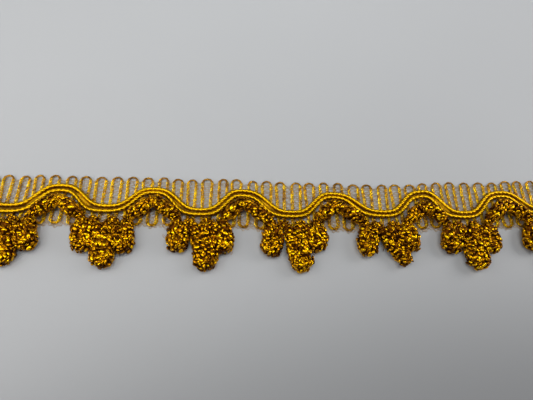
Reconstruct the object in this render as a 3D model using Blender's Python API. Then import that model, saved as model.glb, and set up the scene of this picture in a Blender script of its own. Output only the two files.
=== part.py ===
# Metallic fringe trim: a cut length of gold braid, laid flat with its right side up.
# +X runs along the trim, +Y points to the looped top edge, +Z is up.  Units are metres.
# The origin is under the middle of the trim, on the surface that it lies on.
import math
import random
from collections import namedtuple

import bpy
from mathutils import Vector

# Heading: one fine thread laid in upright loops, with a rounded turn at each end of a leg.
LOOP_PITCH = 0.00394
LOOP_COUNT = 42
HEADING_TOP = 0.0121
HEADING_FOOT = -0.0010
THREAD_DIAMETER = 0.00060
THREAD_SIDES = 6
TOP_TURN_RADIUS = 0.00120
FOOT_TURN_RADIUS = 0.00113
TURN_STEPS = 5
TOP_UNEVENNESS = 0.00018
SIDE_UNEVENNESS = 0.00012

# Two wrapped cords run over the heading in the same wave, one above the other.
CORD_DIAMETER = 0.00100
CORD_SIDES = 8
CORD_CREST = 0.0091
CORD_VALLEY = 0.0034
CORD_SPREAD_AT_VALLEY = 0.00155
CORD_SPREAD_AT_CREST = 0.00122
WAVE_STEEPNESS = 0.25
WAVE_FLATNESS = 1.05
CORD_STEP = 0.0021

# Drop yarn: one thick knitted yarn that climbs to an arch under each crest and hangs in three lobes.
# Necks and picots are where it is bound to the heading, and it is drawn in thin there.
YARN_DIAMETER = 0.00276
YARN_SIDES = 8
YARN_TURN = math.radians(26.0)
YARN_STEP = 0.0028
ARCH_TOP = 0.0049
ARCH_SHAPE = [(0.0, 1.0), (0.13, 0.92), (0.32, 0.66), (0.56, 0.42), (0.80, 0.24)]
BINDING_LINE = -0.0002
NECK_OFFSET = 0.0055
NECK_YARN = 0.72
PICOT_OFFSET = 0.0023
PICOT_SHIFT = -0.0005
PICOT_RADIUS = 0.00076
PICOT_YARN = 0.48
SHOULDER_DEPTH = 0.0024
SHOULDER_YARN = 0.82
SIDE_SHOULDER = 0.00566
LOBE_HALF = 0.00138
MIDDLE_LOBE_HALF = 0.00160
LOBE_TURN_STEPS = 4
PATH_DETAIL = 8

# The yarn lies on the surface below the heading and climbs onto it between these two places.
CLIMB_START = -0.0055
CLIMB_END = -0.0019
PIECE_GAP = 0.00030

# Where each repeat of the pattern lies along the trim.  crest: top of the wave on its left side.
# centre: middle of the drop.  The lifts raise that crest and that valley.  bend: how far the trim
# bows sideways there.  The middle shift brings the trim's middle over the origin.
Repeat = namedtuple("Repeat", "crest crest_lift centre valley_lift bend")
REPEATS = [
    Repeat(-0.0826, 0.0000, -0.0708, 0.0000, 0.00000),
    Repeat(-0.0588, 0.0000, -0.0467, 0.0000, -0.00005),
    Repeat(-0.0350, -0.0005, -0.0229, 0.0001, -0.00035),
    Repeat(-0.0114, 0.0000, 0.0009, 0.0000, -0.00080),
    Repeat(0.0121, 0.0000, 0.0252, 0.0003, -0.00115),
    Repeat(0.0367, 0.0004, 0.0474, -0.0004, -0.00015),
    Repeat(0.0584, 0.0000, 0.0702, 0.0000, 0.00045),
]
LAST_CREST = 0.0826
BEND_BLEND = 0.0100
MIDDLE_SHIFT = 0.0002

# How the three lobes of each drop hang.  tilt: lean in degrees, to the right when positive.
# reach: how far the lobe's lower end lies below the binding line.
Lobes = namedtuple("Lobes", "left_tilt left_reach middle_tilt middle_reach right_tilt right_reach")
LOBES = [
    Lobes(-3.0, 0.0085, 6.0, 0.0119, 8.0, 0.0083),
    Lobes(2.0, 0.0088, 5.0, 0.0124, 6.0, 0.0088),
    Lobes(0.0, 0.0086, 8.0, 0.0130, 9.0, 0.0087),
    Lobes(-5.0, 0.0086, 9.0, 0.0126, 11.0, 0.0078),
    Lobes(-6.0, 0.0085, 13.0, 0.0112, 17.0, 0.0073),
    Lobes(-2.0, 0.0080, 7.0, 0.0121, 8.0, 0.0082),
    Lobes(-6.0, 0.0082, 4.0, 0.0118, 6.0, 0.0084),
]

# Finishes: colour, roughness and metallic value.
GOLD_THREAD = ((0.52, 0.31, 0.05), 0.38, 0.75)
GOLD_CORD = ((0.86, 0.58, 0.02), 0.26, 0.90)
GOLD_YARN = ((0.48, 0.27, 0.02), 0.42, 0.80)


def remove_everything():
    for thing in list(bpy.data.objects):
        bpy.data.objects.remove(thing, do_unlink=True)


def make_material(name, finish):
    colour, roughness, metallic = finish
    material = bpy.data.materials.new(name)
    material.use_nodes = True
    shader = material.node_tree.nodes["Principled BSDF"]
    shader.inputs["Base Color"].default_value = (*colour, 1.0)
    shader.inputs["Roughness"].default_value = roughness
    shader.inputs["Metallic"].default_value = metallic
    return material


# How high a tube's centre lies above the flat side that it rests on.
def rest_height(radius, sides):
    return radius * math.cos(math.pi / sides)


# How high the heading's thread stands when it lies on one of its flat sides.
def thread_height():
    return 2.0 * rest_height(THREAD_DIAMETER / 2.0, THREAD_SIDES)


# Turn about its own path that brings one of a tube's flat sides to face down.
def flat_side_turn(sides):
    return math.pi / sides if sides % 4 == 0 else 0.0


# Sideways bow of the whole trim at a place along it: a soft blend of the repeats' own bends.
def bend_at(x):
    weights = [math.exp(-((x - repeat.centre) / BEND_BLEND) ** 2) for repeat in REPEATS]
    return sum(w * repeat.bend for w, repeat in zip(weights, REPEATS)) / sum(weights)


# Each repeat with the place and the lift of the crest on its right side.
def repeats_and_next_crests():
    places = [repeat.crest for repeat in REPEATS[1:]] + [LAST_CREST]
    lifts = [repeat.crest_lift for repeat in REPEATS[1:]] + [0.0]
    return list(zip(REPEATS, places, lifts))


# The upper cord's wave: low and flat over each drop, high and round between two drops.
def upper_cord_y(x):
    for repeat, next_crest, next_lift in repeats_and_next_crests():
        if x <= next_crest:
            break
    on_left = x < repeat.centre
    crest = repeat.crest if on_left else next_crest
    lift = repeat.crest_lift if on_left else next_lift
    rise = -math.cos(math.pi * (x - repeat.centre) / (crest - repeat.centre))
    level = 0.5 + 0.5 * ((1.0 + WAVE_STEEPNESS) * rise - WAVE_STEEPNESS * rise ** 3)
    level = max(level, 0.0) ** WAVE_FLATNESS
    valley = CORD_VALLEY + repeat.valley_lift
    return valley + (CORD_CREST + lift - valley) * level


# The lower cord keeps its distance from the upper one square to the wave, so it is lower on a slope.
def lower_cord_y(x):
    step = CORD_STEP / 4.0
    slope = (upper_cord_y(x + step) - upper_cord_y(x - step)) / (2.0 * step)
    level = (upper_cord_y(x) - CORD_VALLEY) / (CORD_CREST - CORD_VALLEY)
    spread = CORD_SPREAD_AT_VALLEY + (CORD_SPREAD_AT_CREST - CORD_SPREAD_AT_VALLEY) * level
    return upper_cord_y(x) - spread * math.hypot(1.0, slope)


# Points on a half circle, from the start angle, turning by the given number of radians.
def turn_points(centre_x, centre_y, radius, start, sweep, steps):
    points = []
    for i in range(steps + 1):
        angle = start + sweep * i / steps
        points.append((centre_x + radius * math.cos(angle), centre_y + radius * math.sin(angle)))
    return points


# A smooth curve through the given points; each point is a tuple of any length.
def smooth_curve(points, steps):
    curve = []
    last = len(points) - 1
    for i in range(last):
        a, b, c, d = (Vector(points[min(max(k, 0), last)]) for k in (i - 1, i, i + 1, i + 2))
        for k in range(steps):
            t = k / steps
            curve.append(0.5 * (2 * b + (c - a) * t + (2 * a - 5 * b + 4 * c - d) * t ** 2
                                + (3 * b - a - 3 * c + d) * t ** 3))
    curve.append(Vector(points[-1]))
    return curve


# Keeps only the points that the shape needs: one after each bend of max_turn or length of max_step.
def thin_out(curve, max_turn, max_step):
    kept = [curve[0]]
    turned = 0.0
    walked = 0.0
    for before, here, after in zip(curve, curve[1:], curve[2:]):
        arriving = (here - before).xy
        leaving = (after - here).xy
        walked += arriving.length
        turned += arriving.angle(leaving, 0.0)
        if turned >= max_turn or walked >= max_step:
            kept.append(here)
            turned = 0.0
            walked = 0.0
    kept.append(curve[-1])
    return kept


# A closed tube along a path of (x, y, z, thickness) points, with one of its flat sides facing down.
def make_tube(name, path, diameter, sides, material, collection):
    curve = bpy.data.curves.new(name, "CURVE")
    curve.dimensions = "3D"
    curve.twist_mode = "Z_UP"
    curve.bevel_depth = diameter / 2.0
    curve.bevel_resolution = (sides - 4) // 2
    curve.use_fill_caps = True
    spline = curve.splines.new("POLY")
    spline.points.add(len(path) - 1)
    for point, (x, y, z, thickness) in zip(spline.points, path):
        point.co = (x, y, z, 1.0)
        point.radius = thickness
        point.tilt = flat_side_turn(sides)
    tube = bpy.data.objects.new(name, curve)
    tube.location.y = MIDDLE_SHIFT
    curve.materials.append(material)
    collection.objects.link(tube)
    return tube


def heading_path():
    uneven = random.Random(11)
    height = rest_height(THREAD_DIAMETER / 2.0, THREAD_SIDES)
    first = -LOOP_PITCH * (LOOP_COUNT - 1) / 2.0
    path = []
    for i in range(LOOP_COUNT):
        x = first + i * LOOP_PITCH + uneven.uniform(-SIDE_UNEVENNESS, SIDE_UNEVENNESS)
        top = HEADING_TOP + uneven.uniform(-TOP_UNEVENNESS, TOP_UNEVENNESS)
        foot = HEADING_FOOT + uneven.uniform(-TOP_UNEVENNESS, TOP_UNEVENNESS)
        if i == 0:
            path.append((x - TOP_TURN_RADIUS, foot))
        path += turn_points(x, top - TOP_TURN_RADIUS, TOP_TURN_RADIUS, math.pi, -math.pi, TURN_STEPS)
        if i < LOOP_COUNT - 1:
            between = x + LOOP_PITCH / 2.0
            turn_y = foot + FOOT_TURN_RADIUS
            path += turn_points(between, turn_y, FOOT_TURN_RADIUS, math.pi, math.pi, TURN_STEPS)
        else:
            path.append((x + TOP_TURN_RADIUS, foot))
    return [(x, y + bend_at(x), height, 1.0) for x, y in path]


def cord_path(centre_y):
    height = thread_height() + PIECE_GAP + rest_height(CORD_DIAMETER / 2.0, CORD_SIDES)
    first_crest = REPEATS[0].crest
    steps = round((LAST_CREST - first_crest) / CORD_STEP)
    path = []
    for i in range(steps + 1):
        x = first_crest + (LAST_CREST - first_crest) * i / steps
        path.append((x, centre_y(x) + bend_at(x), height, 1.0))
    return path


# One hanging lobe: down its left leg, round the lower end and up its right leg.
def lobe_points(shoulder_x, binding_y, tilt, reach, half):
    depth = reach - SHOULDER_DEPTH - YARN_DIAMETER / 2.0 - half
    outline = [(-LOBE_HALF, 0.0, SHOULDER_YARN), (-LOBE_HALF, 0.5 * depth, 1.0)]
    lower_end = turn_points(0.0, 0.0, half, math.pi, math.pi, LOBE_TURN_STEPS)
    outline += [(x, depth - y, 1.0) for x, y in lower_end]
    outline += [(LOBE_HALF, 0.5 * depth, 1.0), (LOBE_HALF, 0.0, SHOULDER_YARN)]
    lean = math.radians(tilt)
    shoulder_y = binding_y - SHOULDER_DEPTH
    points = []
    for across, down, thickness in outline:
        x = shoulder_x + across * math.cos(lean) + down * math.sin(lean)
        y = shoulder_y - down * math.cos(lean) + across * math.sin(lean)
        points.append((x, y, thickness))
    return points


# A small loop at the binding line, where the yarn turns from one lobe into the next.
def picot_points(x, binding_y):
    rounds = turn_points(x, binding_y, PICOT_RADIUS, math.pi, -math.pi, LOBE_TURN_STEPS)
    return [(px, py, PICOT_YARN) for px, py in rounds]


# How far the yarn is lifted at y: nothing on the surface, and clear of the thread over the heading.
def climb_at(y):
    climb = min(max((y - CLIMB_START) / (CLIMB_END - CLIMB_START), 0.0), 1.0)
    climb = climb * climb * (3.0 - 2.0 * climb)
    return climb * (thread_height() + PIECE_GAP)


# Half of an arch, from the crest down to the neck of the drop beside it.
def arch_points(crest_x, neck_x, neck_y):
    points = []
    for along, up in ARCH_SHAPE:
        points.append((crest_x + along * (neck_x - crest_x), neck_y + up * (ARCH_TOP - neck_y), 1.0))
    points.append((neck_x, neck_y, NECK_YARN))
    return points


# Joins runs of points end to end, with the point halfway between each run and the next.
def join_runs(runs):
    joined = list(runs[0])
    for run in runs[1:]:
        halfway = tuple(0.5 * (here + there) for here, there in zip(joined[-1], run[0]))
        joined += [halfway] + list(run)
    return joined


def drop_yarn_path():
    flat = []
    for (repeat, next_crest, _), lobes in zip(repeats_and_next_crests(), LOBES):
        centre = repeat.centre
        binding = BINDING_LINE + repeat.valley_lift
        picots = centre + PICOT_SHIFT
        flat += join_runs([
            arch_points(repeat.crest, centre - NECK_OFFSET, binding),
            lobe_points(centre - SIDE_SHOULDER, binding, lobes.left_tilt, lobes.left_reach, LOBE_HALF),
            picot_points(picots - PICOT_OFFSET, binding),
            lobe_points(centre, binding, lobes.middle_tilt, lobes.middle_reach, MIDDLE_LOBE_HALF),
            picot_points(picots + PICOT_OFFSET, binding),
            lobe_points(centre + SIDE_SHOULDER, binding, lobes.right_tilt, lobes.right_reach, LOBE_HALF),
            arch_points(next_crest, centre + NECK_OFFSET, binding)[:0:-1],
        ])
    flat.append((LAST_CREST, ARCH_TOP, 1.0))
    smooth = thin_out(smooth_curve(flat, PATH_DETAIL), YARN_TURN, YARN_STEP)
    radius = YARN_DIAMETER / 2.0
    path = []
    for x, y, thickness in smooth:
        height = rest_height(radius * thickness, YARN_SIDES) + climb_at(y)
        path.append((x, y + bend_at(x), height, thickness))
    return path


def build():
    remove_everything()
    trim = bpy.data.collections.new("metallic_fringe_trim")
    bpy.context.scene.collection.children.link(trim)
    thread = make_material("heading_thread", GOLD_THREAD)
    upper = make_material("upper_cord_wrap", GOLD_CORD)
    lower = make_material("lower_cord_wrap", GOLD_CORD)
    yarn = make_material("drop_yarn_knit", GOLD_YARN)
    make_tube("heading_loops", heading_path(), THREAD_DIAMETER, THREAD_SIDES, thread, trim)
    make_tube("wrapped_cord_upper", cord_path(upper_cord_y), CORD_DIAMETER, CORD_SIDES, upper, trim)
    make_tube("wrapped_cord_lower", cord_path(lower_cord_y), CORD_DIAMETER, CORD_SIDES, lower, trim)
    make_tube("drop_yarn", drop_yarn_path(), YARN_DIAMETER, YARN_SIDES, yarn, trim)


build()
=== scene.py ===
import math
import random

import bpy
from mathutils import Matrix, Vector


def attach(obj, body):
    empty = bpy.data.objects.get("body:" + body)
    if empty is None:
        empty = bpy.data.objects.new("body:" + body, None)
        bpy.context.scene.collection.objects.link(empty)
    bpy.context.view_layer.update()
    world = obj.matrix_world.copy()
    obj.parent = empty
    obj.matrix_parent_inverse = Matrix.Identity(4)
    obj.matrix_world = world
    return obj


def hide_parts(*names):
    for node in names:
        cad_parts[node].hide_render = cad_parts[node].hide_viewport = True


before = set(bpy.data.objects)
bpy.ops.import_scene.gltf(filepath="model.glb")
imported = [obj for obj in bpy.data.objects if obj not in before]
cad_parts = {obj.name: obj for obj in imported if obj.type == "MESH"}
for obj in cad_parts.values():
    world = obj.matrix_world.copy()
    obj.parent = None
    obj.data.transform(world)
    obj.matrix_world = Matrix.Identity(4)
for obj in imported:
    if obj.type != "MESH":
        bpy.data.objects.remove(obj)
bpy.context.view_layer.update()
print("frame loaded, solids:", sorted(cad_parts))


# One output of a node. Plain maths on it adds Math nodes to the same tree.
class Wire:
    def __init__(self, maker, socket):
        self.maker = maker
        self.socket = socket

    def maths(self, operation, *others):
        return self.maker.maths(operation, self, *others)

    def __add__(self, other):
        return self.maths("ADD", other)

    def __radd__(self, other):
        return self.maths("ADD", other)

    def __sub__(self, other):
        return self.maths("SUBTRACT", other)

    def __rsub__(self, other):
        return self.maker.maths("SUBTRACT", other, self)

    def __mul__(self, other):
        return self.maths("MULTIPLY", other)

    def __rmul__(self, other):
        return self.maths("MULTIPLY", other)

    def __truediv__(self, other):
        return self.maths("DIVIDE", other)

    def __rtruediv__(self, other):
        return self.maker.maths("DIVIDE", other, self)

    def output(self, name):
        return Wire(self.maker, self.socket.node.outputs[name])


# Builds a node tree: node() takes a type, its settings, and the values or wires of its sockets.
class Maker:
    def __init__(self, tree):
        self.tree = tree

    def node(self, kind, settings=None, values=None, output=0):
        made = self.tree.nodes.new(kind)
        for name, value in (settings or {}).items():
            if name == "stops":
                self.setStops(made.color_ramp, value)
            else:
                setattr(made, name, value)
        for key, value in (values or {}).items():
            for single in value if isinstance(value, list) else [value]:
                socket = self.find(made.inputs, key)
                if isinstance(single, Wire):
                    self.tree.links.new(single.socket, socket)
                else:
                    socket.default_value = single
        return Wire(self, self.find(made.outputs, output))

    # A socket by its number, or by its name among those that the node's settings leave in use.
    def find(self, sockets, key):
        if isinstance(key, int):
            return sockets[key]
        return next(socket for socket in sockets if socket.name == key and socket.enabled)

    def setStops(self, ramp, stops):
        while len(ramp.elements) < len(stops):
            ramp.elements.new(0.5)
        for element, (place, colour) in zip(ramp.elements, stops):
            element.position = place
            element.color = (*colour, 1.0)

    def maths(self, operation, *values):
        return self.node("ShaderNodeMath", {"operation": operation}, dict(enumerate(values)))

    def vectors(self, operation, *values):
        return self.node("ShaderNodeVectorMath", {"operation": operation}, dict(enumerate(values)))

    def scaled(self, vector, factor):
        return self.node("ShaderNodeVectorMath", {"operation": "SCALE"}, {0: vector, 3: factor})

    def vector(self, x, y, z):
        return self.node("ShaderNodeCombineXYZ", None, {0: x, 1: y, 2: z})

    # Runs a value from 0 to 1 between two limits, softly.
    def soften(self, value, low, high):
        settings = {"interpolation_type": "SMOOTHSTEP"}
        return self.node("ShaderNodeMapRange", settings, {0: value, 1: low, 2: high})


# A material's tree, with the ready shader and the places where its patterns are read.
class MaterialMaker(Maker):
    def __init__(self, name):
        self.material = bpy.data.materials.new(name)
        self.material.use_nodes = True
        super().__init__(self.material.node_tree)
        self.shader = self.tree.nodes["Principled BSDF"]

    def place(self):
        return self.node("ShaderNodeTexCoord", None, None, "Object")

    def attribute(self, name, output="Fac"):
        return self.node("ShaderNodeAttribute", {"attribute_name": name}, None, output)

    def noise(self, where, scale, detail=2.0):
        return self.node("ShaderNodeTexNoise", None, {"Vector": where, "Scale": scale, "Detail": detail})

    def cells(self, where, scale):
        return self.node("ShaderNodeTexVoronoi", None, {"Vector": where, "Scale": scale}, "Color")

    def bump(self, height, strength, distance):
        return self.node("ShaderNodeBump", None,
                         {"Height": height, "Strength": strength, "Distance": distance})

    def ramp(self, tone, stops):
        return self.node("ShaderNodeValToRGB", {"stops": stops}, {0: tone})

    # Each colour is a wire, or plain red, green and blue.
    def mixColours(self, factor, first, second):
        first, second = [colour if isinstance(colour, Wire) else (*colour, 1.0)
                         for colour in (first, second)]
        return self.node("ShaderNodeMix", {"data_type": "RGBA"}, {0: factor, 6: first, 7: second}, 2)

    # A surface normal that each small facet turns its own way.
    def facetNormal(self, facets, amount):
        normal = self.node("ShaderNodeNewGeometry", None, None, "Normal")
        twist = self.scaled(self.vectors("SUBTRACT", facets, (0.5, 0.5, 0.5)), amount)
        return self.vectors("NORMALIZE", self.vectors("ADD", normal, twist))

    def dress(self, **values):
        names = {"colour": "Base Color", "roughness": "Roughness", "metallic": "Metallic",
                 "normal": "Normal", "glint": "Specular IOR Level"}
        for name, value in values.items():
            socket = self.shader.inputs[names[name]]
            if isinstance(value, Wire):
                self.tree.links.new(value.socket, socket)
            else:
                socket.default_value = value
        return self.material


# A Geometry Nodes tree with named inputs, whose result is realised and gets its material.
class GrowthMaker(Maker):
    def __init__(self, name, inputs):
        super().__init__(bpy.data.node_groups.new(name, "GeometryNodeTree"))
        sockets = self.tree.interface
        sockets.new_socket(name="Path", in_out="INPUT", socket_type="NodeSocketGeometry")
        for label, kind in inputs.items():
            sockets.new_socket(name=label, in_out="INPUT", socket_type="NodeSocket" + kind)
        sockets.new_socket(name="Mesh", in_out="OUTPUT", socket_type="NodeSocketGeometry")
        self.entry = self.tree.nodes.new("NodeGroupInput")

    def given(self, label):
        return Wire(self, self.entry.outputs[label])

    def path(self, step=None):
        curve = self.node("GeometryNodeMeshToCurve", None, {0: self.given("Path")})
        if step:
            curve = self.node("GeometryNodeResampleCurve", {"mode": "LENGTH"},
                              {"Curve": curve, "Length": step})
        return self.node("GeometryNodeSetCurveNormal", {"mode": "Z_UP"}, {0: curve})

    def random(self, low, high, seed):
        return self.node("FunctionNodeRandomValue", None, {2: low, 3: high, 8: seed}, 1)

    def store(self, geometry, label, value, domain="POINT", kind="FLOAT"):
        settings = {"data_type": kind, "domain": domain}
        return self.node("GeometryNodeStoreNamedAttribute", settings,
                         {"Geometry": geometry, "Name": label, "Value": value})

    def read(self, label, kind="FLOAT"):
        return self.node("GeometryNodeInputNamedAttribute", {"data_type": kind}, {"Name": label})

    def tube(self, curve, sides, radius, scale=1.0, caps=True):
        ring = self.node("GeometryNodeCurvePrimitiveCircle", None, {"Resolution": sides, "Radius": radius})
        return self.node("GeometryNodeCurveToMesh", None,
                         {"Curve": curve, "Profile Curve": ring, "Scale": scale, "Fill Caps": caps})

    # A rotation turned further about one of its own axes.
    def turn(self, rotation, axis, angle):
        more = self.node("FunctionNodeAxisAngleToRotation", None, {0: axis, 1: angle})
        return self.node("FunctionNodeRotateRotation", {"rotation_space": "LOCAL"}, {0: rotation, 1: more})

    def finish(self, geometry):
        smooth = self.node("GeometryNodeSetShadeSmooth", None, {"Geometry": geometry})
        real = self.node("GeometryNodeRealizeInstances", None, {"Geometry": smooth})
        settled = self.settle(real)
        dressed = self.node("GeometryNodeSetMaterial", None,
                            {"Geometry": settled, "Material": self.given("Material")})
        end = self.tree.nodes.new("NodeGroupOutput")
        self.tree.links.new(dressed.socket, end.inputs["Mesh"])
        return self.tree

    # Whatever would reach below the table lies flat on it.
    def settle(self, geometry):
        apart = self.node("ShaderNodeSeparateXYZ", None, {0: self.node("GeometryNodeInputPosition")})
        rest = self.vector(apart.output("X"), apart.output("Y"), apart.output("Z").maths("MAXIMUM", 0.0))
        return self.node("GeometryNodeSetPosition", None, {"Geometry": geometry, "Position": rest})


# Grows a piece along one or more runs of (x, y, z, thickness) points and makes it a plain mesh.
def growPiece(name, runs, tree, values, replaced):
    points, edges = [], []
    for run in runs:
        edges += [(len(points) + i, len(points) + i + 1) for i in range(len(run) - 1)]
        points += run
    host = bpy.data.meshes.new(name + "Path")
    host.from_pydata([point[:3] for point in points], edges, [])
    thickness = host.attributes.new("thickness", "FLOAT", "POINT")
    thickness.data.foreach_set("value", [point[3] for point in points])
    guide = bpy.data.objects.new(name + "Guide", host)
    bpy.context.scene.collection.objects.link(guide)
    growth = guide.modifiers.new("growth", "NODES")
    growth.node_group = tree
    for socket in tree.interface.items_tree:
        if socket.in_out == "INPUT" and socket.name in values:
            growth[socket.identifier] = values[socket.name]
    grown = guide.evaluated_get(bpy.context.evaluated_depsgraph_get())
    mesh = bpy.data.meshes.new_from_object(grown)
    bpy.data.objects.remove(guide)
    mesh.name = name
    piece = bpy.data.objects.new(name, mesh)
    bpy.context.scene.collection.objects.link(piece)
    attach(piece, "root")
    if replaced:
        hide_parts(replaced)
    print("grown:", name, "faces:", len(mesh.polygons))


# Each repeat of the pattern, in metres. crest: top of the wave on its left side. centre: middle of the
# drop. lifts: how far that crest, its valley and the drop's binding line are raised. gaps: from cord to
# cord at that crest and in the valley. bend: sideways bow of the trim there. spread: how wide the drop
# opens. lobes, from left to right: lean in degrees, reach below the binding line, half the distance
# between the lobe's legs at its lower end and, where it isn't 1, how full the yarn is there.
repeats = [
    {"crest": -0.0826, "crestLift": 0.0, "crestGap": 0.00125, "valleyLift": 0.0001, "valleyGap": 0.00170,
     "centre": -0.0708, "bindingLift": 0.0, "bend": 0.0, "spread": 1.0,
     "lobes": [(-3.0, 0.0085, 0.00106), (11.0, 0.0120, 0.00128), (8.0, 0.0083, 0.00106)]},
    {"crest": -0.0588, "crestLift": 0.0, "crestGap": 0.00140, "valleyLift": 0.0002, "valleyGap": 0.00140,
     "centre": -0.0467, "bindingLift": 0.0, "bend": -0.00005, "spread": 0.86,
     "lobes": [(2.0, 0.0085, 0.00106), (5.0, 0.0124, 0.00128), (6.0, 0.0087, 0.00106)]},
    {"crest": -0.0350, "crestLift": -0.0005, "crestGap": 0.00100, "valleyLift": -0.0003, "valleyGap": 0.00130,
     "centre": -0.0229, "bindingLift": 0.0001, "bend": -0.00035, "spread": 0.95,
     "lobes": [(0.0, 0.0081, 0.00120), (13.0, 0.0130, 0.00134), (10.0, 0.0086, 0.00112)]},
    {"crest": -0.0121, "crestLift": -0.0004, "crestGap": 0.00140, "valleyLift": -0.0003, "valleyGap": 0.00120,
     "centre": 0.0009, "bindingLift": 0.0, "bend": -0.00080, "spread": 0.98,
     "lobes": [(-4.0, 0.0086, 0.00118), (12.0, 0.0126, 0.00124), (11.0, 0.0074, 0.00108)]},
    {"crest": 0.0117, "crestLift": -0.0005, "crestGap": 0.00105, "valleyLift": 0.0004, "valleyGap": 0.00115,
     "centre": 0.0252, "bindingLift": 0.0003, "bend": -0.00115, "spread": 0.92,
     "lobes": [(-6.0, 0.0085, 0.00100), (29.0, 0.0119, 0.00050, 0.84), (9.0, 0.0076, 0.00090)]},
    {"crest": 0.0357, "crestLift": 0.0002, "crestGap": 0.00145, "valleyLift": -0.0006, "valleyGap": 0.00125,
     "centre": 0.0470, "bindingLift": -0.0004, "bend": -0.00015, "spread": 0.88,
     "lobes": [(-6.0, 0.0078, 0.00106), (8.0, 0.0121, 0.00120), (6.0, 0.0080, 0.00100)]},
    {"crest": 0.0579, "crestLift": -0.0005, "crestGap": 0.00120, "valleyLift": 0.0, "valleyGap": 0.00125,
     "centre": 0.0702, "bindingLift": 0.0, "bend": 0.00045, "spread": 1.0,
     "lobes": [(-6.0, 0.0082, 0.00106), (4.0, 0.0118, 0.00128), (6.0, 0.0084, 0.00106)]},
]
lastCrest = {"crest": 0.0826, "crestLift": 0.0, "crestGap": 0.00125}
lay = {"bendBlend": 0.010, "middleShift": 0.0002}


# How far the trim bows sideways at a place along it.
def bendAt(x):
    weights = [math.exp(-((x - repeat["centre"]) / lay["bendBlend"]) ** 2) for repeat in repeats]
    bends = sum(weight * repeat["bend"] for weight, repeat in zip(weights, repeats))
    return bends / sum(weights) + lay["middleShift"]


# Each repeat with the one whose crest is on its right side.
def repeatsAndNext():
    return list(zip(repeats, repeats[1:] + [lastCrest]))


# Even places from the first crest to the last, about a step apart.
def placesAlong(step):
    first, last = repeats[0]["crest"], lastCrest["crest"]
    steps = round((last - first) / step)
    return [first + (last - first) * i / steps for i in range(steps + 1)]


def turnPoints(centreX, centreY, radius, start, sweep, steps):
    angles = [start + sweep * i / steps for i in range(steps + 1)]
    return [(centreX + radius * math.cos(a), centreY + radius * math.sin(a)) for a in angles]


# A smooth curve through points, each a tuple of any length.
def smoothCurve(points, steps):
    curve = []
    last = len(points) - 1
    for i in range(last):
        a, b, c, d = (Vector(points[min(max(k, 0), last)]) for k in (i - 1, i, i + 1, i + 2))
        for k in range(steps):
            t = k / steps
            curve.append(0.5 * (2 * b + (c - a) * t + (2 * a - 5 * b + 4 * c - d) * t ** 2
                                + (3 * b - a - 3 * c + d) * t ** 3))
    curve.append(Vector(points[-1]))
    return curve


# Every twisted thread and cord: its plies wander off their even turns, each ply in its own way.
twist = {"plyApart": 7.3, "wanderScale": 900.0}


def pliesTree():
    maker = GrowthMaker("twistedPlies", {
        "Step": "Float", "Plies": "Int", "Ply Radius": "Float", "Lay Radius": "Float", "Lay Height": "Float",
        "Turn Length": "Float", "Sides": "Int", "Looseness": "Float", "Material": "Material"})
    curve = maker.path(maker.given("Step"))
    plies = maker.node("GeometryNodeDuplicateElements", {"domain": "SPLINE"},
                       {"Geometry": curve, "Amount": maker.given("Plies")})
    which = plies.output("Duplicate Index")
    along = maker.node("GeometryNodeSplineParameter", None, None, "Length")
    angle = (along / maker.given("Turn Length") + which / maker.given("Plies")) * math.tau
    wander = maker.node("ShaderNodeTexNoise", {"noise_dimensions": "4D"},
                        {"W": which * twist["plyApart"], "Scale": twist["wanderScale"]})
    thickness = maker.read("thickness")
    layRadius = maker.given("Lay Radius") * thickness * (1.0 + maker.given("Looseness") * (wander - 0.5))
    normal = maker.node("GeometryNodeInputNormal")
    side = maker.vectors("CROSS_PRODUCT", maker.node("GeometryNodeInputTangent"), normal)
    out = maker.vectors("ADD", maker.scaled(normal, angle.maths("COSINE")),
                        maker.scaled(side, angle.maths("SINE") * maker.given("Lay Height")))
    twisted = maker.node("GeometryNodeSetPosition", None,
                         {"Geometry": plies, "Offset": maker.scaled(out, layRadius)})
    twisted = maker.store(twisted, "along", along)
    return maker.finish(maker.tube(twisted, maker.given("Sides"), maker.given("Ply Radius")))


def growTwisted(name, runs, sizes, finish, replaced=None):
    growPiece(name, runs, plies, {
        "Step": sizes["step"], "Plies": sizes["plies"], "Ply Radius": sizes["plyRadius"],
        "Lay Radius": sizes["layRadius"], "Lay Height": sizes["layHeight"],
        "Turn Length": sizes["turnLength"], "Sides": sizes["sides"],
        "Looseness": sizes["looseness"], "Material": finish}, replaced)


heading = {
    "loopPitch": 0.00394, "loopCount": 42, "topY": 0.0121, "footY": -0.0010, "height": 0.00042,
    "topRadius": 0.00120, "footRadius": 0.00113, "turnSteps": 10,
    "unevenTop": 0.00022, "unevenSide": 0.00028, "unevenSeed": 11,
    "unevenWidth": 0.00018, "widthRange": (-1.0, 0.6), "widthSeed": 12,
    "step": 0.00025, "plies": 3, "plyRadius": 0.000138, "layRadius": 0.000300, "layHeight": 0.50,
    "turnLength": 0.0028, "sides": 5, "looseness": 1.2, "topYarn": 0.45, "footYarn": 0.70,
    "topFullness": 0.85, "legFullness": 1.80, "footFullness": 1.15, "fullY": 0.0050,
    "patchScale": 650.0, "patchShare": 0.60, "facetScale": 1700.0, "facetShare": 0.40, "facetTurn": 0.7,
    "thinDarkFrom": 1.15, "thinDarkTo": 0.50, "thinDarkShare": 0.26,
    "tones": [(0.22, (0.30, 0.145, 0.020)), (0.38, (0.48, 0.22, 0.010)),
              (0.47, (0.94, 0.51, 0.004)), (0.55, (1.0, 0.66, 0.005))],
    "roughness": 0.34, "patchPolish": 0.12, "metallic": 0.80,
}


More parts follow.
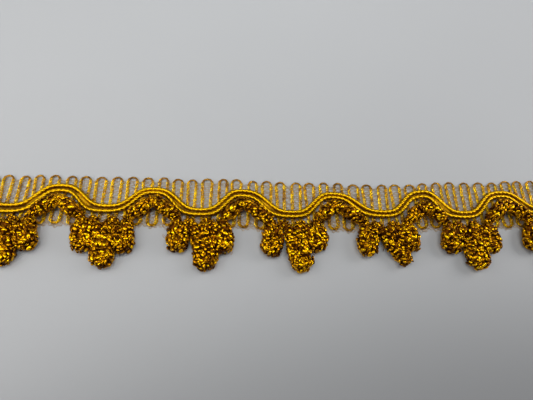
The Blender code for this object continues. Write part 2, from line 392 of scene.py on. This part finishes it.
# Fine metallised thread: brown where it is drawn thin, with small facets that catch the light.
def headingGold():
    maker = MaterialMaker("headingGold")
    place = maker.place()
    patches = maker.noise(place, heading["patchScale"])
    facets = maker.cells(place, heading["facetScale"])
    # Darker where the thread is drawn thin.
    thinDarkening = maker.soften(maker.attribute("thickness"), heading["thinDarkFrom"], heading["thinDarkTo"])
    tone = patches * heading["patchShare"] + facets * heading["facetShare"] - thinDarkening * heading["thinDarkShare"]
    return maker.dress(colour=maker.ramp(tone, heading["tones"]),
                       roughness=heading["roughness"] - patches * heading["patchPolish"],
                       metallic=heading["metallic"],
                       normal=maker.facetNormal(facets, heading["facetTurn"]), glint=0.0)


def firstLoopX():
    return -heading["loopPitch"] * (heading["loopCount"] - 1) / 2.0


# A half turn, where the thread is drawn thin.
def thinTurn(x, y, radius, sweep, turnYarn):
    points = turnPoints(x, y, radius, math.pi, sweep, heading["turnSteps"])
    drawn = [1.0 - (1.0 - turnYarn) * math.sin(math.pi * i / heading["turnSteps"])
             for i in range(len(points))]
    return [(px, py, thickness) for (px, py), thickness in zip(points, drawn)]


# The thread is fullest just above the cords, and thinner towards the top and the foot of each loop.
def fullnessAt(y):
    end, fullness = ("topY", "topFullness") if y > heading["fullY"] else ("footY", "footFullness")
    share = max((heading[end] - y) / (heading[end] - heading["fullY"]), 0.0)
    return heading[fullness] + (heading["legFullness"] - heading[fullness]) * share


def headingPath():
    uneven = random.Random(heading["unevenSeed"])
    widths = random.Random(heading["widthSeed"])
    path = []
    for i in range(heading["loopCount"]):
        x = firstLoopX() + i * heading["loopPitch"] + uneven.uniform(-1.0, 1.0) * heading["unevenSide"]
        top = heading["topY"] + uneven.uniform(-1.0, 1.0) * heading["unevenTop"]
        foot = heading["footY"] + uneven.uniform(-1.0, 1.0) * heading["unevenTop"]
        topRadius = heading["topRadius"] + widths.uniform(*heading["widthRange"]) * heading["unevenWidth"]
        if i == 0:
            path.append((x - topRadius, foot, 1.0))
        path += thinTurn(x, top - topRadius, topRadius, -math.pi, heading["topYarn"])
        if i < heading["loopCount"] - 1:
            path += thinTurn(x + heading["loopPitch"] / 2.0, foot + heading["footRadius"],
                             heading["footRadius"], math.pi, heading["footYarn"])
        else:
            path.append((x + topRadius, foot, 1.0))
    return [(x, y + bendAt(x), heading["height"], thickness * fullnessAt(y)) for x, y, thickness in path]


cords = {
    "height": 0.00132, "crestY": 0.0091, "valleyY": 0.0034, "steepness": 0.36, "flatness": 1.05,
    "flankSlip": 0.0004, "pathStep": 0.0004,
    "step": 0.00017, "plies": 3, "plyRadius": 0.00041, "layRadius": 0.00017, "layHeight": 1.0,
    "turnLength": 0.0036, "sides": 8, "looseness": 0.15,
    "wrapPitch": 0.00024, "wrapShare": 0.3, "wrapStrength": 0.35, "wrapDepth": 0.00004,
    "patchScale": 900.0, "patchShare": 0.7,
    # Between the next two heights the cord's colour is painted darker, as shade on its underside.
    "shadeFullBelow": 0.00148, "shadeGoneAbove": 0.00180, "paintedShadeColour": (0.33, 0.14, 0.002),
    "tones": [(0.25, (0.50, 0.25, 0.003)), (0.55, (0.66, 0.37, 0.003)), (0.80, (0.73, 0.42, 0.004))],
    "roughness": 0.21, "patchRoughness": 0.11, "metallic": 1.0,
}


# Cord wrapped in flat metallised strip, with painted shade low down: its colour darkens towards its
# underside.
def cordGold():
    maker = MaterialMaker("cordGold")
    place = maker.place()
    wraps = (maker.attribute("along") * (math.tau / cords["wrapPitch"])).maths("SINE") * 0.5 + 0.5
    patches = maker.noise(place, cords["patchScale"])
    tone = patches * cords["patchShare"] + wraps * cords["wrapShare"]
    height = maker.node("ShaderNodeSeparateXYZ", None, {0: place}, "Z")
    # Painted shade: the colour darkens below a height on the cord.
    clearOfPaintedShade = maker.soften(height, cords["shadeFullBelow"], cords["shadeGoneAbove"])
    return maker.dress(colour=maker.mixColours(clearOfPaintedShade, cords["paintedShadeColour"], maker.ramp(tone, cords["tones"])),
                       roughness=cords["roughness"] + patches * cords["patchRoughness"],
                       metallic=cords["metallic"],
                       normal=maker.bump(wraps, cords["wrapStrength"], cords["wrapDepth"]))


# The wave near x: its level from 0 in the valley to 1 on the crest, its repeat and its nearer crest.
def waveAt(x):
    for repeat, following in repeatsAndNext():
        if x <= following["crest"]:
            break
    near = repeat if x < repeat["centre"] else following
    rise = -math.cos(math.pi * (x - repeat["centre"]) / (near["crest"] - repeat["centre"]))
    level = 0.5 + 0.5 * ((1.0 + cords["steepness"]) * rise - cords["steepness"] * rise ** 3)
    return max(level, 0.0) ** cords["flatness"], repeat, near


def upperCordY(x):
    level, repeat, near = waveAt(x)
    valley = cords["valleyY"] + repeat["valleyLift"]
    return valley + (cords["crestY"] + near["crestLift"] - valley) * level


# The lower cord keeps its distance square to the wave. Where the wave falls it slips away, most halfway.
def lowerCordY(x):
    step = cords["pathStep"]
    slope = (upperCordY(x + step) - upperCordY(x - step)) / (2.0 * step)
    level, repeat, near = waveAt(x)
    gap = repeat["valleyGap"] + (near["crestGap"] - repeat["valleyGap"]) * level
    if near is repeat:
        gap += cords["flankSlip"] * 4.0 * level * (1.0 - level)
    return upperCordY(x) - gap * math.hypot(1.0, slope)


def cordPath(centreY):
    return [(x, centreY(x) + bendAt(x), cords["height"], 1.0) for x in placesAlong(cords["pathStep"])]


# Brownish threads along the foot of the heading, and sheer ones behind its loops, which are partly real
# thread and partly painted shade on the table inside the loops.
binding = {
    "firstRow": -0.00135, "rowPitch": 0.00042, "rowCount": 8, "height": 0.00012, "sway": 0.00024,
    "swayLength": 0.00131, "swayLag": 2.4, "edgeSway": 0.5, "follow": 0.00034,
    "step": 0.00030, "plies": 2, "plyRadius": 0.000060, "layRadius": 0.00015, "layHeight": 0.5,
    "turnLength": 0.0013, "sides": 3, "looseness": 1.3,
    "patchScale": 800.0, "dark": (0.41, 0.27, 0.15), "light": (0.74, 0.54, 0.34), "roughness": 0.35,
}
# Sheer threads: partly real thread, partly a painted shade inside the loops of the heading.
sheerAndShade = {
    "firstRow": 0.00210, "rowPitch": 0.00060, "rowCount": 16, "height": 0.00012, "sway": 0.00018,
    "swayLength": 0.00197, "swayLag": 2.4, "edgeSway": 0.0, "follow": 0.00012,
    "step": 0.00046, "plies": 2, "plyRadius": 0.000045, "layRadius": 0.00015, "layHeight": 0.5,
    "turnLength": 0.0019, "sides": 3, "looseness": 1.3,
    "patchScale": 800.0, "dark": (0.34, 0.20, 0.07), "light": (0.62, 0.42, 0.17), "roughness": 0.35,
}

# The thread between the cords. fullGap: the cords' distance at which it has its plain thickness. It
# turns gold and rises where it is apartFrom to apartTo times as thick.
cordBinding = {
    "height": 0.00104, "fullGap": 0.00130, "apartFrom": 1.45, "apartTo": 1.80, "rise": 0.00030,
    "step": 0.00016, "plies": 3, "plyRadius": 0.00012, "layRadius": 0.00022, "layHeight": 0.5,
    "turnLength": 0.0011, "sides": 4, "looseness": 0.8,
    "patchScale": 800.0, "dark": (0.07, 0.030, 0.003), "light": (0.42, 0.20, 0.008),
    "gold": (0.88, 0.50, 0.006), "roughness": 0.30, "metallic": 0.9,
}


# A thread's darker and lighter shades, in fine patches.
def patchedColour(maker, thread):
    patches = maker.noise(maker.place(), thread["patchScale"])
    return maker.mixColours(patches, thread["dark"], thread["light"])


# Brown thread without any metal in it.
def bindingFinish(name, thread):
    maker = MaterialMaker(name)
    return maker.dress(colour=patchedColour(maker, thread), roughness=thread["roughness"], metallic=0.0)


# The thread between the cords: dark, and gold where the cords lie apart.
def cordBindingGold():
    maker = MaterialMaker("bindingDark")
    apart = maker.soften(maker.attribute("thickness"), cordBinding["apartFrom"], cordBinding["apartTo"])
    colour = maker.mixColours(apart, patchedColour(maker, cordBinding), cordBinding["gold"])
    return maker.dress(colour=colour, roughness=cordBinding["roughness"], metallic=cordBinding["metallic"])


# Threads that run along the heading, sway from side to side and follow the tops and feet of its loops.
# edgeSway: how much more the outermost one sways.
def bindingRuns(sizes):
    runs = []
    for number in range(sizes["rowCount"]):
        run = []
        for x in placesAlong(sizes["step"]):
            sway = sizes["sway"] * math.sin(math.tau * x / sizes["swayLength"] + sizes["swayLag"] * number)
            sway *= 1.0 + sizes["edgeSway"] / (1.0 + number)
            sway += sizes["follow"] * math.cos(math.tau * (x - firstLoopX()) / heading["loopPitch"])
            y = sizes["firstRow"] + number * sizes["rowPitch"] + sway + bendAt(x)
            run.append((x, y, sizes["height"], 1.0))
        runs.append(run)
    return runs


# It fills the gap between the cords, and rises where they lie apart.
def cordBindingPath():
    path = []
    for x, y, _, _ in cordPath(lambda x: 0.5 * (upperCordY(x) + lowerCordY(x))):
        fullness = (upperCordY(x) - lowerCordY(x)) / cordBinding["fullGap"]
        apart = (fullness - cordBinding["apartFrom"]) / (cordBinding["apartTo"] - cordBinding["apartFrom"])
        rise = cordBinding["rise"] * min(max(apart, 0.0), 1.0)
        path.append((x, y, cordBinding["height"] + rise, fullness))
    return path


# The drops' yarn: the way it is laid, and the look of its thread.
yarn = {
    "radius": 0.00165, "archTop": 0.0049, "bindingY": -0.0002, "neckOffset": 0.0055, "neckYarn": 0.58,
    "archShape": [(0.0, 1.0, 0.82), (0.13, 0.95, 0.88), (0.32, 0.74, 1.00), (0.56, 0.50, 1.04),
                  (0.80, 0.28, 0.84)],
    "picotOffset": 0.0023, "picotShift": -0.0005, "picotRadius": 0.00076, "picotYarn": 0.53,
    "picotDrop": 0.0006,
    "shoulderDepth": 0.0024, "shoulderYarn": 0.88, "sideShoulder": 0.00560,
    "lobeHalf": 0.00106, "turnSteps": 4, "pathDetail": 8,
    "climbStart": -0.0055, "climbEnd": -0.0019, "climbHeight": 0.00082,
    "rowPitch": 0.00090, "bendShare": 0.60,
    "facetStretch": (0.75, 1.0, 1.0), "facetsApart": 37.0, "facetScale": 2.4, "facetTurn": 0.7,
    # The last three values on the next line paint shade on the low parts of each stitch and on the core.
    "shadeShare": 0.50, "facetShare": 0.50, "stitchShadeFrom": 0.7, "stitchShadeTo": 0.1, "stitchShadeShare": 0.25,
    "tones": [(0.19, (0.060, 0.016, 0.001)), (0.40, (0.31, 0.112, 0.001)),
              (0.55, (0.72, 0.325, 0.002)), (0.69, (1.0, 0.57, 0.003))],
    "roughness": 0.25, "shadePolish": 0.08, "metallic": 0.82,
}

# The inputs of the knitting tree.
knit = {
    "Columns": 11, "Yarn Radius": 0.00152, "Core Share": 0.98,
    "Stitch Length": 0.00138, "Stitch Width": 0.00080, "Stitch Height": 0.00056,
    "Lean": 0.60, "Disorder": 1.00, "Tilt": 0.26, "Shuffle": 0.00024,
    "Stray Share": 0.03, "Stray Length": 0.0012, "Stray Radius": 0.00005,
}

# What all stitches and stray ends have in common. The size and stray ranges are shares of the sizes above,
# and the stray places are shares of a stray end's length.
stitching = {
    "segments": 7, "rings": 5, "sizeRange": (0.7, 1.3), "coreSides": 10,
    "straySteps": 5, "straySides": 3, "strayRange": (0.5, 1.3), "strayShades": (0.3, 0.8),
    "strayLeaves": (0.1, 0.0, 0.45), "strayArrives": (0.5, 0.1, 0.7), "strayEnds": (0.95, -0.05, 0.55),
}


# A knitted yarn: small thread stitches in staggered rows round a dark core, with some stray ends.
# Each use of chance adds its own number to the seed.
def knitTree():
    maker = GrowthMaker("knittedYarn", {
        "Columns": "Int", "Yarn Radius": "Float", "Core Share": "Float",
        "Stitch Length": "Float", "Stitch Width": "Float", "Stitch Height": "Float",
        "Lean": "Float", "Disorder": "Float", "Tilt": "Float", "Shuffle": "Float",
        "Stray Share": "Float", "Stray Length": "Float", "Stray Radius": "Float",
        "Seed": "Int", "Material": "Material"})
    seed = maker.given("Seed")
    thickness = maker.read("thickness")
    index = maker.node("GeometryNodeInputIndex")
    columns = maker.given("Columns")
    rows = maker.path()
    rows = maker.node("GeometryNodeSetCurveTilt", None,  # every other row is turned by half a stitch
                      {"Curve": rows, "Tilt": index.maths("MODULO", 2.0) * math.pi / columns})
    rows = maker.store(rows, "lead", maker.node("GeometryNodeInputTangent"), kind="FLOAT_VECTOR")
    places = maker.tube(rows, columns, maker.given("Yarn Radius"), thickness, False)
    shuffle = maker.given("Shuffle")
    shift = maker.vector(*[maker.random(shuffle * -1.0, shuffle, seed + k) for k in (11, 12, 13)])
    places = maker.node("GeometryNodeSetPosition", None, {"Geometry": places, "Offset": shift})

    # A stitch is a stretched ball that knows how high each of its points lies; the material paints shade on
    # its low parts.
    ball = maker.node("GeometryNodeMeshUVSphere", None, {
        "Segments": stitching["segments"], "Rings": stitching["rings"], "Radius": 0.5})
    spot = maker.node("GeometryNodeInputPosition")
    stitch = maker.store(ball, "rise", maker.node("ShaderNodeSeparateXYZ", None, {0: spot}, "Z") * 2.0)
    stitch = maker.store(stitch, "spot", spot, kind="FLOAT_VECTOR")

    outward = maker.node("FunctionNodeAxesToRotation", {"primary_axis": "Z", "secondary_axis": "X"},
                         {0: maker.node("GeometryNodeInputNormal"), 1: maker.read("lead", "FLOAT_VECTOR")})
    disorder = maker.given("Disorder")
    yaw = maker.given("Lean") + maker.random(disorder * -1.0, disorder, seed + 21)
    turned = maker.turn(outward, (0.0, 0.0, 1.0), yaw)
    tilt = maker.given("Tilt")
    for axis, k in (((0.0, 1.0, 0.0), 22), ((1.0, 0.0, 0.0), 25)):
        turned = maker.turn(turned, axis, maker.random(tilt * -1.0, tilt, seed + k))
    size = thickness * maker.random(*stitching["sizeRange"], seed + 23)
    size = maker.vector(*[size * maker.given(side)
                          for side in ("Stitch Length", "Stitch Width", "Stitch Height")])
    stitches = maker.node("GeometryNodeInstanceOnPoints", None, {
        "Points": places, "Instance": stitch, "Rotation": turned, "Scale": size})
    stitches = maker.store(stitches, "shade", maker.random(0.0, 1.0, seed + 24), "INSTANCE")

    strayLength = maker.given("Stray Length")
    hair = maker.node("GeometryNodeCurvePrimitiveBezierSegment", None, {
        "Resolution": stitching["straySteps"],
        "Start": (0.0, 0.0, 0.0),
        "Start Handle": maker.scaled(stitching["strayLeaves"], strayLength),
        "End Handle": maker.scaled(stitching["strayArrives"], strayLength),
        "End": maker.scaled(stitching["strayEnds"], strayLength)})
    hair = maker.tube(hair, stitching["straySides"], maker.given("Stray Radius"))
    chosen = maker.random(0.0, 1.0, seed + 31).maths("LESS_THAN", maker.given("Stray Share"))
    swing = maker.turn(outward, (0.0, 0.0, 1.0), maker.random(0.0, math.tau, seed + 32))
    strays = maker.node("GeometryNodeInstanceOnPoints", None, {
        "Points": places, "Selection": chosen, "Instance": hair, "Rotation": swing,
        "Scale": maker.random(*stitching["strayRange"], seed + 33)})
    strays = maker.store(strays, "shade", maker.random(*stitching["strayShades"], seed + 34), "INSTANCE")
    strays = maker.store(strays, "rise", 1.0, "INSTANCE")

    coreRadius = maker.given("Yarn Radius") * maker.given("Core Share")
    # The core has no rise, so the material paints it fully in shade.
    core = maker.store(maker.tube(rows, stitching["coreSides"], coreRadius, thickness), "shade", 0.0)
    return maker.finish(maker.node("GeometryNodeJoinGeometry", None, {0: [stitches, strays, core]}))


# Knitted metallised thread: every stitch has its own shade of gold, and small facets catch the light. Shade
# is painted on each stitch's low parts, where it dips under its neighbours, and fully on the core.
def knitGold():
    maker = MaterialMaker("knitGold")
    shade = maker.attribute("shade")
    spot = maker.vectors("MULTIPLY", maker.attribute("spot", "Vector"), yarn["facetStretch"])
    apart = maker.scaled((1.0, 1.0, 1.0), shade * yarn["facetsApart"])
    facets = maker.cells(maker.vectors("ADD", spot, apart), yarn["facetScale"])
    # Painted shade: darker where a stitch dips low, and on the core.
    paintedStitchShade = maker.soften(maker.attribute("rise"), yarn["stitchShadeFrom"], yarn["stitchShadeTo"])
    tone = shade * yarn["shadeShare"] + facets * yarn["facetShare"] - paintedStitchShade * yarn["stitchShadeShare"]
    return maker.dress(colour=maker.ramp(tone, yarn["tones"]),
                       roughness=yarn["roughness"] - shade * yarn["shadePolish"],
                       metallic=yarn["metallic"],
                       normal=maker.facetNormal(facets, yarn["facetTurn"]), glint=0.0)


# One hanging lobe: down its left leg, round the lower end and up its right leg.
def lobePoints(shoulderX, bindingY, lean, reach, half, fullness=1.0):
    depth = reach - yarn["shoulderDepth"] - yarn["radius"] - half
    side = yarn["lobeHalf"]
    outline = [(-side, 0.0, yarn["shoulderYarn"]), (-side, 0.5 * depth, fullness)]
    outline += [(x, depth - y, fullness)
                for x, y in turnPoints(0.0, 0.0, half, math.pi, math.pi, yarn["turnSteps"])]
    outline += [(side, 0.5 * depth, fullness), (side, 0.0, yarn["shoulderYarn"])]
    cos, sin = math.cos(math.radians(lean)), math.sin(math.radians(lean))
    shoulderY = bindingY - yarn["shoulderDepth"]
    return [(shoulderX + across * cos + down * sin, shoulderY - down * cos + across * sin, thickness)
            for across, down, thickness in outline]


# The small loop that the yarn makes between two lobes.
def picotPoints(x, bindingY):
    centreY = bindingY - yarn["picotDrop"]
    rounds = turnPoints(x, centreY, yarn["picotRadius"], math.pi, -math.pi, yarn["turnSteps"])
    return [(px, py, yarn["picotYarn"]) for px, py in rounds]


# Half of an arch, from the crest down to the neck of the drop beside it.
def archPoints(crestX, neckX, neckY):
    points = [(crestX + along * (neckX - crestX), neckY + up * (yarn["archTop"] - neckY), thickness)
              for along, up, thickness in yarn["archShape"]]
    return points + [(neckX, neckY, yarn["neckYarn"])]


# Joins runs of points end to end, with the point halfway between each run and the next.
def joinRuns(runs):
    joined = list(runs[0])
    for run in runs[1:]:
        joined += [tuple(0.5 * (here + there) for here, there in zip(joined[-1], run[0]))] + list(run)
    return joined


# The yarn lies on the table below the heading and climbs onto it.
def climbAt(y):
    climb = min(max((y - yarn["climbStart"]) / (yarn["climbEnd"] - yarn["climbStart"]), 0.0), 1.0)
    return climb * climb * (3.0 - 2.0 * climb) * yarn["climbHeight"]


# The yarn's path, cut at the crests into one stretch for each repeat.
def yarnPaths():
    flat, cuts = [], [0]
    for repeat, following in repeatsAndNext():
        centre = repeat["centre"]
        bindingY = yarn["bindingY"] + repeat["bindingLift"]
        left, middle, right = repeat["lobes"]
        picots = centre + yarn["picotShift"]
        shoulder = yarn["sideShoulder"] * repeat["spread"]
        flat += joinRuns([
            archPoints(repeat["crest"], centre - yarn["neckOffset"], bindingY),
            lobePoints(centre - shoulder, bindingY, *left),
            picotPoints(picots - yarn["picotOffset"], bindingY),
            lobePoints(centre, bindingY, *middle),
            picotPoints(picots + yarn["picotOffset"], bindingY),
            lobePoints(centre + shoulder, bindingY, *right),
            archPoints(following["crest"], centre + yarn["neckOffset"], bindingY)[:0:-1],
        ])
        cuts.append(len(flat) * yarn["pathDetail"])
    flat.append((lastCrest["crest"], yarn["archTop"], yarn["archShape"][0][2]))
    path = [(x, y + bendAt(x), yarn["radius"] * thickness + climbAt(y), thickness)
            for x, y, thickness in smoothCurve(flat, yarn["pathDetail"])]
    return [path[start:end + 1] for start, end in zip(cuts, cuts[1:])]


# Where the rows of stitches lie on the path: closer together in bends, to cover the outer side.
def knitRows(path):
    rows, walked = [path[0]], 0.0
    for before, here, after in zip(path, path[1:], path[2:]):
        arriving = Vector(here[:2]) - Vector(before[:2])
        leaving = Vector(after[:2]) - Vector(here[:2])
        turned = arriving.angle(leaving, 0.0)
        walked += arriving.length + turned * yarn["radius"] * here[3] * yarn["bendShare"]
        if walked >= yarn["rowPitch"]:
            rows.append(here)
            walked -= yarn["rowPitch"]
    return rows + [path[-1]]


print("making the trees that twist and knit")
plies = pliesTree()
knitting = knitTree()

print("growing the heading and the cords")
growTwisted("headingThread", [headingPath()], heading, headingGold(), "heading_loops")
cordFinish = cordGold()
for name, centreY, node in (("upperCord", upperCordY, "wrapped_cord_upper"),
                            ("lowerCord", lowerCordY, "wrapped_cord_lower")):
    growTwisted(name, [cordPath(centreY)], cords, cordFinish, node)

print("laying the binding threads")
for name, finishName, thread in (("bindingThread", "bindingBrown", binding),
                                 ("sheerThread", "sheerBrown", sheerAndShade)):
    growTwisted(name, bindingRuns(thread), thread, bindingFinish(finishName, thread))
growTwisted("cordBinding", [cordBindingPath()], cordBinding, cordBindingGold())

print("knitting the drops")
knitFinish = knitGold()
for number, path in enumerate(yarnPaths(), 1):
    growPiece(f"dropYarn{number}", [knitRows(path)], knitting,
              {**knit, "Seed": 100 * number, "Material": knitFinish}, "drop_yarn")

# A pale table top, with soft shade painted into its colour towards the front. shadeMiddle: the point round
# which the painted shade lies.
table = {
    "half": 1.5, "drop": 0.00002, "squares": 8,
    "dark": (0.405, 0.402, 0.408), "light": (0.442, 0.438, 0.444), "cloudScale": 9.0, "cloudDetail": 3.0,
    "shadeMiddle": (0.060, -0.300, 0.0), "shadeStart": 0.254, "shadeEnd": 0.304, "shadeDepth": 0.33,
    "roughness": 0.55, "grainScale": 400.0, "grainStrength": 0.05, "grainDepth": 0.0001,
}


def tableTop():
    maker = MaterialMaker("tableTop")
    place = maker.place()
    cloud = maker.noise(place, table["cloudScale"], table["cloudDetail"])
    colour = maker.mixColours(cloud, table["dark"], table["light"])
    away = maker.vectors("DISTANCE", place, table["shadeMiddle"]).output("Value")
    # Painted shade: the table's colour darkens towards the front.
    shade = maker.soften(away, table["shadeEnd"], table["shadeStart"]) * table["shadeDepth"]
    grain = maker.noise(place, table["grainScale"])
    return maker.dress(colour=maker.mixColours(shade, colour, (0.0, 0.0, 0.0)),
                       roughness=table["roughness"], metallic=0.0,
                       normal=maker.bump(grain, table["grainStrength"], table["grainDepth"]))


print("setting the table, the camera and the lights")
bpy.ops.mesh.primitive_grid_add(x_subdivisions=table["squares"], y_subdivisions=table["squares"],
                                size=2.0 * table["half"], location=(0.0, 0.0, -table["drop"]))
floor = bpy.context.object
floor.name = "tableTop"
floor.data.materials.append(tableTop())

view = {
    "place": (-0.012476, -0.035117, 0.098085), "tilt": 22.957, "roll": -3.517, "turn": -0.7245,
    "lens": 27.017, "sensor": 36.0, "nearest": 0.005,
}
camera = bpy.data.objects.new("camera", bpy.data.cameras.new("camera"))
bpy.context.scene.collection.objects.link(camera)
camera.location = view["place"]
camera.rotation_euler = [math.radians(view[angle]) for angle in ("tilt", "roll", "turn")]
camera.data.lens = view["lens"]
camera.data.sensor_width = view["sensor"]
camera.data.clip_start = view["nearest"]
bpy.context.scene.camera = camera

lamps = [
    {"name": "overheadPanel", "place": (0.008, 0.072, 0.320), "aim": (-0.054, 0.241, 0.0), "spread": 110.0,
     "size": 0.24, "power": 0.50, "colour": (0.96, 1.0, 1.0)},
    {"name": "leftPanel", "place": (-0.168, -0.018, 0.122), "aim": (-0.030, 0.0, 0.0), "spread": 180.0,
     "size": 0.20, "power": 0.222, "colour": (1.0, 1.0, 0.98)},
    {"name": "rightPanel", "place": (0.275, 0.080, 0.168), "aim": (0.030, 0.0, 0.0), "spread": 180.0,
     "size": 0.16, "power": 0.410, "colour": (1.0, 1.0, 1.0)},
]
for lamp in lamps:
    light = bpy.data.objects.new(lamp["name"], bpy.data.lights.new(lamp["name"], "AREA"))
    bpy.context.scene.collection.objects.link(light)
    light.location = lamp["place"]
    light.rotation_euler = (Vector(lamp["place"]) - Vector(lamp["aim"])).to_track_quat("Z", "Y").to_euler()
    light.data.size = lamp["size"]
    light.data.energy = lamp["power"]
    light.data.color = lamp["colour"]
    light.data.spread = math.radians(lamp["spread"])

room = {"colour": (0.80, 0.84, 0.90), "strength": 0.215}
world = bpy.data.worlds.new("room")
bpy.context.scene.world = world
world.use_nodes = True
background = world.node_tree.nodes["Background"]
background.inputs["Color"].default_value = (*room["colour"], 1.0)
background.inputs["Strength"].default_value = room["strength"]
bpy.context.scene.view_settings.view_transform = "Standard"
